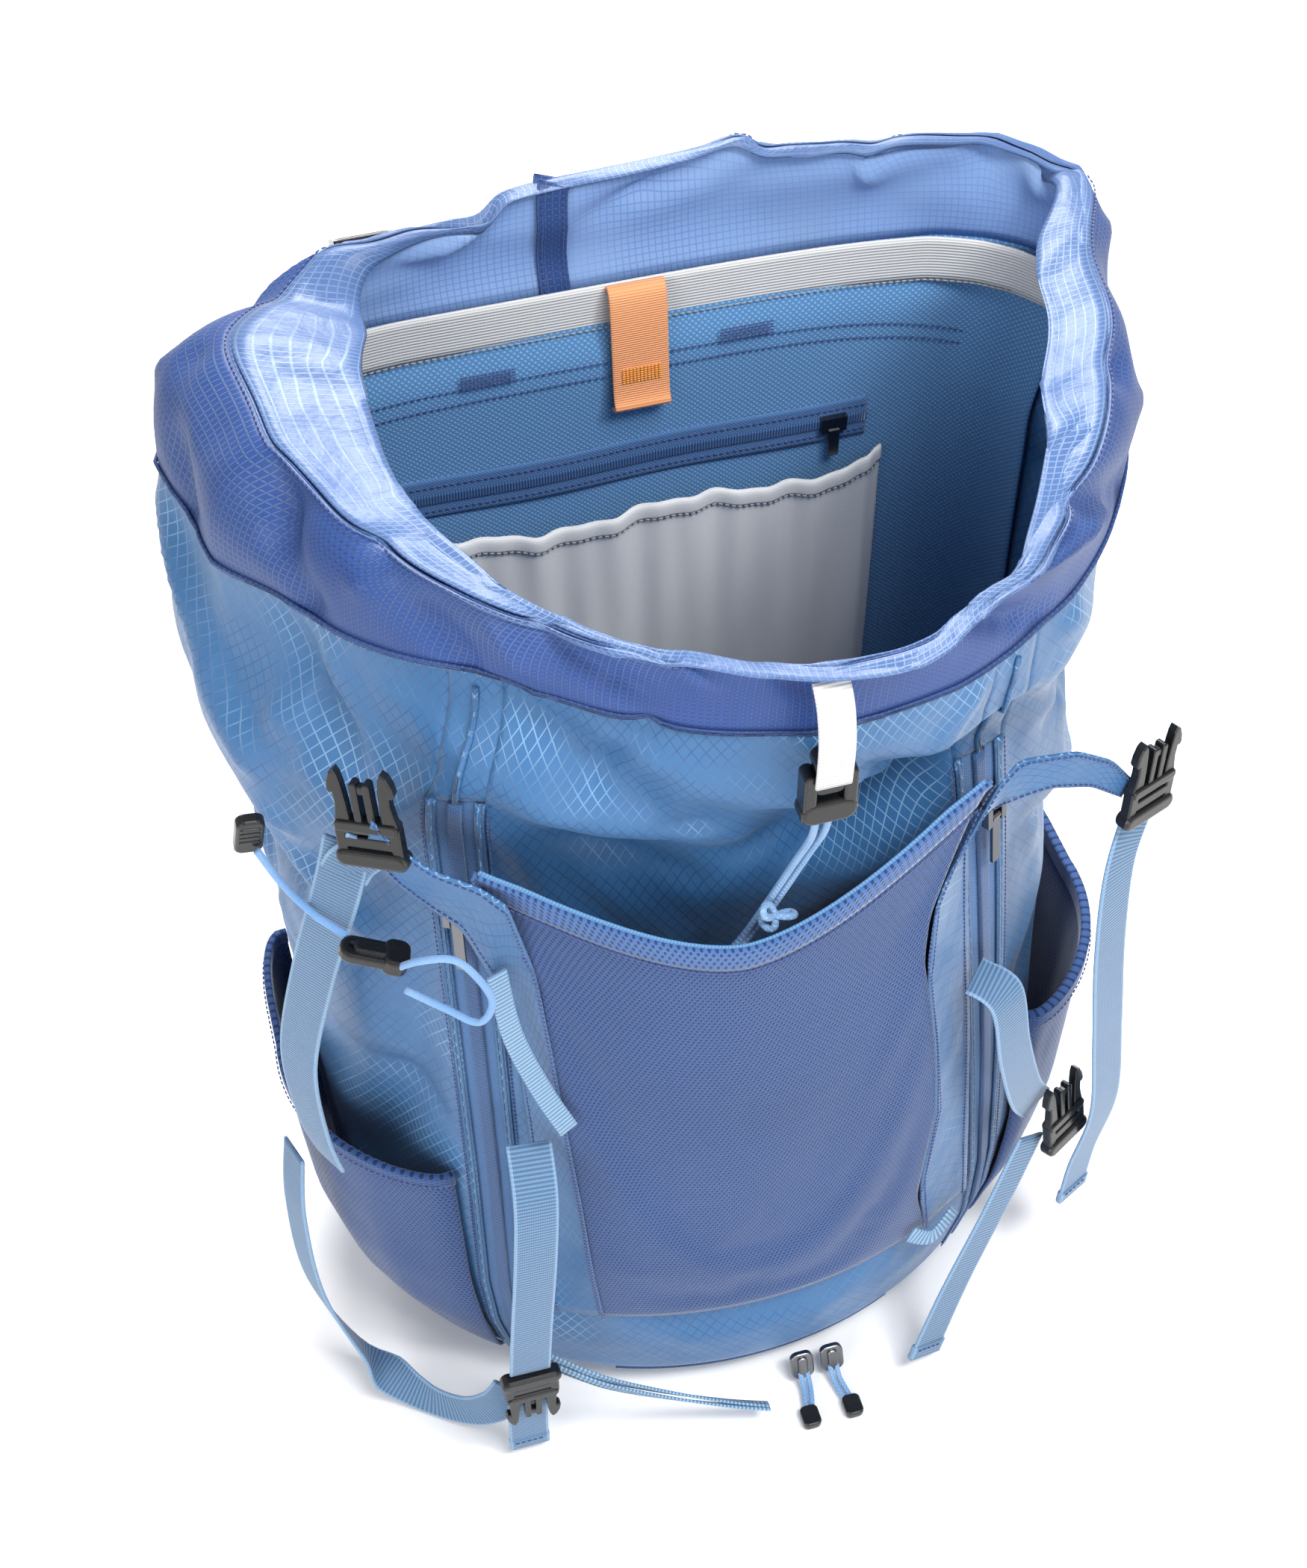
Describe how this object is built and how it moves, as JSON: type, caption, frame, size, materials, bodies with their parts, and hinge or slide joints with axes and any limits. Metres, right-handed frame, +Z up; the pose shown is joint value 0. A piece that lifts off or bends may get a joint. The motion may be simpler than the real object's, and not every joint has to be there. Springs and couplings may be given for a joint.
{
  "type": "daypack",
  "caption": "Top-loading hiking daypack with drawcord collar, stretch pockets, zips, webbing, framed back and folding hip fins.",
  "frame": {"origin": "centre of the base, on the ground", "axes": "+Z up, -Y the front of the pack, +Y the wearer's back, +X to the right as seen from the front"},
  "size_m": [0.4173, 0.364, 0.565],
  "materials": {
    "body_ripstop": "matte diamond ripstop nylon",
    "base_cloth": "matte ripstop nylon",
    "collar_ripstop": "thin silky grid ripstop",
    "stretch_mesh": "matte knitted stretch mesh",
    "zip_tape": "woven tape with a nylon coil",
    "lining_oxford": "coarse oxford weave",
    "sleeve_nylon": "fine twill, slight sheen",
    "grey_tape": "ribbed grosgrain tape",
    "orange_tape": "ribbed grosgrain tape",
    "back_mesh": "spacer mesh over foam",
    "webbing": "ribbed polyamide webbing",
    "cord": "braided cord",
    "frame_plastic": "matte black sheet",
    "frame_steel": "drawn spring steel",
    "black_acetal": "moulded, satin gloss",
    "zip_metal": "black painted die casting"
  },
  "bodies": {
    "pack": {"front_panel": "body_ripstop", "left_panel": "body_ripstop", "right_panel": "body_ripstop", "back_panel": "base_cloth", "base_panel": "base_cloth", "collar": "collar_ripstop", "hem_cord": "cord", "left_zip": "zip_tape", "right_zip": "zip_tape", "base_zip": "zip_tape", "front_pocket": "stretch_mesh", "left_wing": "body_ripstop", "right_wing": "body_ripstop", "left_side_pocket": "stretch_mesh", "right_side_pocket": "stretch_mesh", "frame_sheet": "frame_plastic", "frame_wire": "frame_steel", "inner_back_panel": "lining_oxford", "hydration_sleeve": "sleeve_nylon", "inner_zip": "zip_tape", "mouth_binding": "grey_tape", "name_tab": "orange_tape", "back_pads": "back_mesh", "haul_loop": "webbing", "shoulder_strap_left": "back_mesh", "shoulder_strap_right": "back_mesh", "harness_webbing": "webbing", "ladder_locks": "black_acetal", "belt_anchors": "webbing", "upper_left_buckle": "black_acetal", "upper_left_strap": "webbing", "upper_right_buckle": "black_acetal", "upper_right_strap": "webbing", "lower_left_buckle": "black_acetal", "lower_left_strap": "webbing", "left_loop_strap": "webbing", "lower_right_buckle": "black_acetal", "lower_right_strap": "webbing", "cord_lock_body": "black_acetal", "cord_lock_tab": "grey_tape", "drawcord": "cord", "elastic_cord": "cord", "elastic_hook": "black_acetal", "webbing_loops": "webbing"},
    "sternum": {"sternum_strap": "webbing", "sternum_buckle": "black_acetal"},
    "hip_left": {"hip_fin_left": "back_mesh", "hip_webbing_left": "webbing", "hip_buckle_female": "black_acetal"},
    "hip_right": {"hip_fin_right": "back_mesh", "hip_webbing_right": "webbing", "hip_buckle_male": "black_acetal"},
    "left_zip_slider": {"left_zip_slider": "zip_metal"},
    "left_zip_pull": {"left_zip_pull": "zip_metal"},
    "right_zip_slider": {"right_zip_slider": "zip_metal"},
    "right_zip_pull": {"right_zip_pull": "zip_metal"},
    "base_zip_slider_left": {"base_zip_slider_left": "zip_metal"},
    "base_zip_slider_right": {"base_zip_slider_right": "zip_metal"},
    "inner_zip_slider": {"inner_zip_slider": "zip_metal"},
    "cord_lock_button": {"cord_lock_button": "black_acetal"}
  },
  "joints": [
    {"name": "left_zip_slide", "type": "slide", "parent": "pack", "child": "left_zip_slider", "axis": [0.004, -0.0271, -0.9996], "range_m": [0, 0.285]},
    {"name": "left_pull_swing", "type": "hinge", "parent": "left_zip_slider", "child": "left_zip_pull", "pos_m": [-0.11786, -0.10244, 0.3961], "axis": [0.8828, -0.4694, 0.0175], "range_deg": [-95, 0]},
    {"name": "right_zip_slide", "type": "slide", "parent": "pack", "child": "right_zip_slider", "axis": [0.1139, 0.016, -0.9934], "range_m": [0, 0.285]},
    {"name": "right_pull_swing", "type": "hinge", "parent": "right_zip_slider", "child": "right_zip_pull", "pos_m": [0.10746, -0.11075, 0.39621], "axis": [0.8781, 0.4669, 0.1045], "range_deg": [-95, 0]},
    {"name": "base_zip_slide_left", "type": "slide", "parent": "pack", "child": "base_zip_slider_left", "axis": [-1, 0, 0], "range_m": [0, 0.08]},
    {"name": "base_zip_slide_right", "type": "slide", "parent": "pack", "child": "base_zip_slider_right", "axis": [1, 0, 0], "range_m": [0, 0.022]},
    {"name": "inner_zip_slide", "type": "slide", "parent": "pack", "child": "inner_zip_slider", "axis": [-1, 0, 0], "range_m": [0, 0.21]},
    {"name": "cord_lock_press", "type": "slide", "parent": "pack", "child": "cord_lock_button", "axis": [0, 0, -1], "range_m": [0, 0.005], "stiffness_N_per_m": 600},
    {"name": "sternum_height", "type": "slide", "parent": "pack", "child": "sternum", "axis": [0, 0, 1], "range_m": [-0.03, 0.03]},
    {"name": "hip_left_fold", "type": "hinge", "parent": "pack", "child": "hip_left", "pos_m": [-0.124, 0.124, 0.075], "axis": [0, 0, 1], "range_deg": [-5, 90]},
    {"name": "hip_right_fold", "type": "hinge", "parent": "pack", "child": "hip_right", "pos_m": [0.124, 0.124, 0.075], "axis": [0, 0, 1], "range_deg": [-90, 5]}
  ]
}
